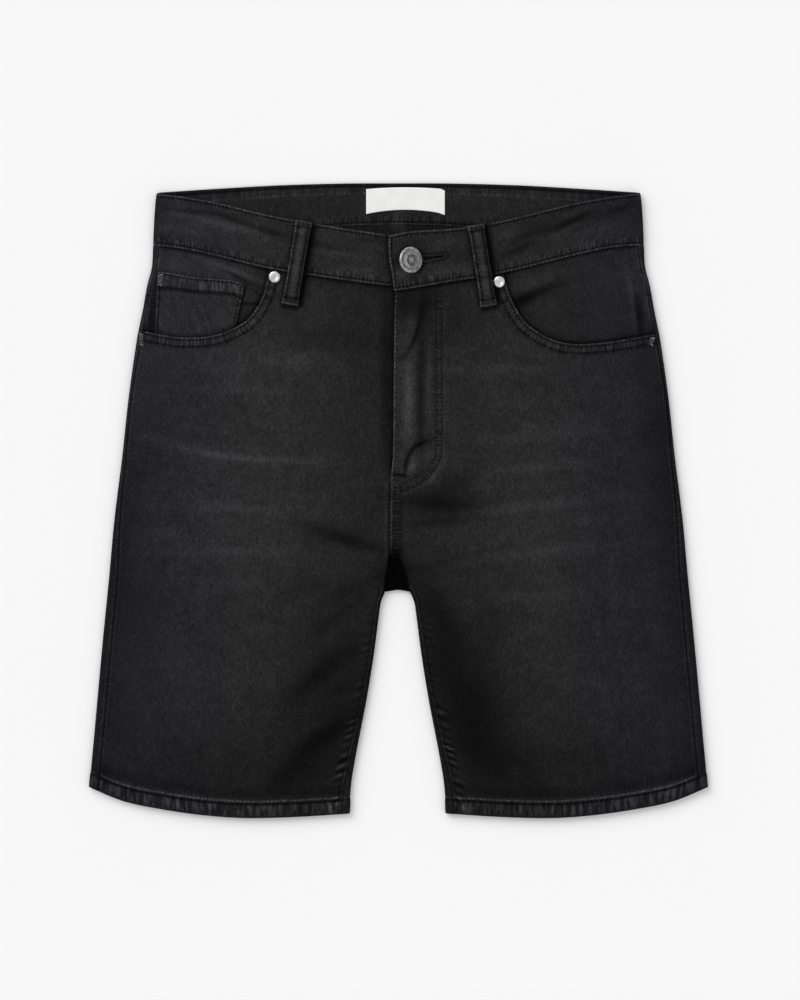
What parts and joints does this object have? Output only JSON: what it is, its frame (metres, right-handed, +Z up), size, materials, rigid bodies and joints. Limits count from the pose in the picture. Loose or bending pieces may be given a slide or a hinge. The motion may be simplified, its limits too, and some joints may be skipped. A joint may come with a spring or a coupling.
{
  "type": "denim shorts",
  "caption": "Black denim shorts laid flat, front up: fastened waistband with belt loops and shank button, zip fly, curved front pockets, coin pocket and patch back pockets.",
  "frame": {"origin": "middle of the flat garment's box, on the surface it lies on", "axes": "+X to the wearer's left (the picture's right), +Y up to the waist, +Z up out of the front of the garment"},
  "size_m": [0.4954, 0.5084, 0.0216],
  "materials": {
    "denim": "washed black twill, matt",
    "zip_tape": "black woven tape, matt",
    "label": "white woven tape, matt",
    "aged_metal": "aged dark nickel, satin",
    "nickel": "polished nickel"
  },
  "bodies": {
    "root": {"front_left": "denim", "front_right": "denim", "back_left": "denim", "back_right": "denim", "yoke_left": "denim", "yoke_right": "denim", "waistband": "denim", "fly_shield": "denim", "zip": "zip_tape", "pocket_facing_left": "denim", "pocket_facing_right": "denim", "coin_pocket": "denim", "back_pocket_left": "denim", "back_pocket_right": "denim", "belt_loop_front_left": "denim", "belt_loop_front_right": "denim", "belt_loop_back_left": "denim", "belt_loop_back_middle": "denim", "belt_loop_back_right": "denim", "button": "aged_metal", "rivet_left": "nickel", "rivet_right": "nickel", "label": "label"}
  },
  "joints": []
}
